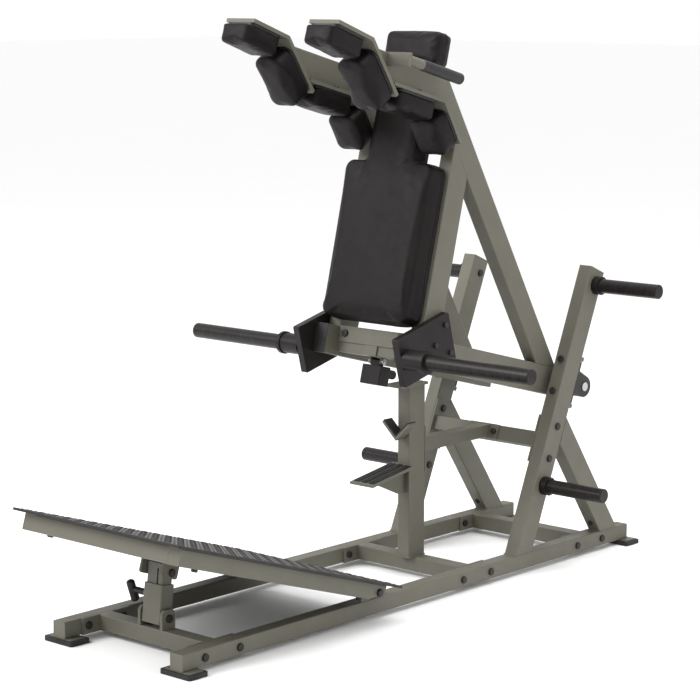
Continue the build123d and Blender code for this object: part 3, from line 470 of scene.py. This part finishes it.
def upholster(name, node, toward, cap, voxel):
    """One CAD cushion made into a stuffed one."""
    piece = rest_copy(name, node)
    back, plane = broad_face(node, -toward)
    piece.modifiers.new("even", "REMESH").mode = "VOXEL"
    piece.modifiers["even"].voxel_size = voxel
    bake_modifiers(piece)
    smooth = piece.modifiers.new("soften", "SMOOTH")
    smooth.iterations = 2
    bake_modifiers(piece)
    points, out = points_of(piece), normals_of(piece)
    height = over_board(points, back, plane)
    points = points - out * (CUSHION_SHY * ease(height / SHY_REACH))[:, None]
    set_points(piece, points)
    swell(piece, back, plane, cap)
    points, out = points_of(piece), normals_of(piece)
    height = over_board(points, back, plane)
    sideways = 1 - np.abs(out @ np.array(back))
    near_board = 1 - ease(height / PUCKER_REACH)
    wave = np.array([noise.noise(Vector(p) / PUCKER_PITCH) for p in points])
    pull = near_board * sideways * (PUCKER_PULL + PUCKER_WAVE * wave)
    set_points(piece, points - out * pull[:, None])
    piece.modifiers.new("fine", "SUBSURF").levels = 1
    bake_modifiers(piece)
    piece.data.polygons.foreach_set("use_smooth", [True] * len(piece.data.polygons))
    piece.data.materials.clear()
    piece.data.materials.append(leatherette)
    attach(piece, "arm")
    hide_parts(node)
    return piece


forward = Vector((0, -1, 0))
downward = Vector((0, 0, -1))
upholster("back_cushion", "back_pad", forward, cap=0.009, voxel=0.006)
upholster("headrest_cushion", "headrest", forward, cap=0.007, voxel=0.005)
upholster("front_top_cushions", "shoulder_pad_front_top", downward, cap=0.007, voxel=0.005)
upholster("front_face_cushions", "shoulder_pad_front_face", forward, cap=0.007, voxel=0.005)
upholster("rear_top_cushions", "shoulder_pad_rear_top", downward, cap=0.007, voxel=0.005)
upholster("rear_face_cushions", "shoulder_pad_rear_face", forward, cap=0.007, voxel=0.005)


# ---- Hand grips ------------------------------------------------------------------------------
# Black foam-rubber sleeves pushed over the handle tubes, with a closed rounded end.
grip_rubber = moulded(
    "grip rubber", (0.012, 0.011, 0.011), (0.020, 0.019, 0.018), (0.42, 0.58), 650.0, 0.00022
)
finish(["handle_grips"], grip_rubber)


# ---- Tread plate -----------------------------------------------------------------------------
# Dark painted chequer plate bolted on the platform's tubes. Raised lozenges stand in alternate
# directions; their edges and the plate's own are painted paler, partly as a highlight, partly as wear from
# shoes.
tread_black = coated_metal(
    "dark tread plate",
    colour=(0.013, 0.0105, 0.0100),
    shade=(0.008, 0.0068, 0.0068),
    # pale colour on the lozenges' and plate's edges: painted highlight mixed with shoe wear
    corner_highlight_and_wear=(0.080, 0.070, 0.066),
    gloss=(0.38, 0.55),
    peel_depth=0.00008,
    mirror=0.35,
)
finish(["tread_plate"], tread_black)

LOZENGE = (0.0125, 0.0042, 0.0016)     # half length, half width, height
LOZENGE_OUTLINE = (
    (1, 0), (0.45, 0.8), (0, 1), (-0.45, 0.8), (-1, 0), (-0.45, -0.8), (0, -1), (0.45, -0.8),
)                                      # corners, in half lengths and half widths
LOZENGE_TOP = 0.62                     # size of the flat top against the foot
LOZENGE_ROOT = 0.0004                  # how deep the foot reaches into the plate
LOZENGE_PITCH = 0.0270
TREAD_MARGIN = 0.014


def lozenge(builder, centre, along, across, up):
    """A raised pointed bar with sloping flanks."""
    half_length, half_width, height = LOZENGE
    foot, top = [], []
    for share_long, share_wide in LOZENGE_OUTLINE:
        offset = along * half_length * share_long + across * half_width * share_wide
        foot.append(builder.verts.new(centre + offset - up * LOZENGE_ROOT))
        top.append(builder.verts.new(centre + offset * LOZENGE_TOP + up * height))
    for k in range(len(foot)):
        following = (k + 1) % len(foot)
        builder.faces.new((foot[k], foot[following], top[following], top[k]))
    builder.faces.new(top)
    builder.faces.new(foot[::-1])


up, level = broad_face("tread_plate", Vector((0, 0, 1)))
run = Vector((1, 0, 0)).cross(up).normalized()
corners = [v.co for v in nodes["tread_plate"].data.vertices]
run_low, run_high = min(c.dot(run) for c in corners), max(c.dot(run) for c in corners)
half_width = max(c.x for c in corners)
lugs = bmesh.new()
columns = int((half_width - TREAD_MARGIN) * 2 / LOZENGE_PITCH)
rows = int((run_high - run_low - 2 * TREAD_MARGIN) / LOZENGE_PITCH)
for row in range(rows + 1):
    for column in range(columns + 1):
        x = (column - columns / 2) * LOZENGE_PITCH
        t = (run_low + run_high) / 2 + (row - rows / 2) * LOZENGE_PITCH
        slant = math.radians(45 if (row + column) % 2 else -45)
        along = Vector((math.cos(slant), 0, 0)) + run * math.sin(slant)
        across = up.cross(along)
        lozenge(lugs, Vector((x, 0, 0)) + run * t + up * level, along, across, up)
make_piece("tread_lozenges", lugs, "platform", tread_black, smooth=False)


# ---- Floor, light and camera -----------------------------------------------------------------
# A pale studio floor that runs out to the horizon, a large soft light high on the front left, a
# second one overhead, a weak one from the right and an even white surround.
floor_paint = bpy.data.materials.new("pale floor")
tree, shader, place = lay_out(floor_paint)
tree.links.new(
    two_tones(tree, grain(tree, place, 1.5, 3.0), (0.955, 0.955, 0.955), (0.975, 0.975, 0.975)),
    shader.inputs["Base Color"],
)
shader.inputs["Roughness"].default_value = 0.9
bpy.ops.mesh.primitive_plane_add(size=120)
floor = bpy.context.object
floor.name = "floor"
floor.data.materials.append(floor_paint)

world = bpy.data.worlds.new("studio")
bpy.context.scene.world = world
world.use_nodes = True
world.node_tree.nodes["Background"].inputs["Color"].default_value = (1, 1, 1, 1)
world.node_tree.nodes["Background"].inputs["Strength"].default_value = 1.0


def soft_light(name, place, target, size, power):
    """A square area light that looks at a point."""
    light = bpy.data.lights.new(name, "AREA")
    light.shape = "SQUARE"
    light.size = size
    light.energy = power
    lamp = bpy.data.objects.new(name, light)
    lamp.location = place
    lamp.rotation_euler = (Vector(target) - Vector(place)).to_track_quat("-Z", "Y").to_euler()
    bpy.context.scene.collection.objects.link(lamp)


soft_light("key", (-2.6, -4.6, 4.4), (0, 0, 0.8), 3.0, 300)
soft_light("top", (0.6, 0.4, 5.0), (0, 0, 0.6), 3.5, 150)
soft_light("fill", (5.0, 1.0, 2.2), (0, 0, 0.8), 2.5, 30)

camera_data = bpy.data.cameras.new("camera")
camera_data.lens = 117.55
camera_data.sensor_width = 36.0
camera_data.clip_end = 200
camera = bpy.data.objects.new("camera", camera_data)
camera.location = (4.804, -5.3737, 1.932)
camera.rotation_euler = (math.radians(80.98), 0, math.radians(42.0))
bpy.context.scene.collection.objects.link(camera)
bpy.context.scene.camera = camera
bpy.context.scene.view_settings.view_transform = "Standard"
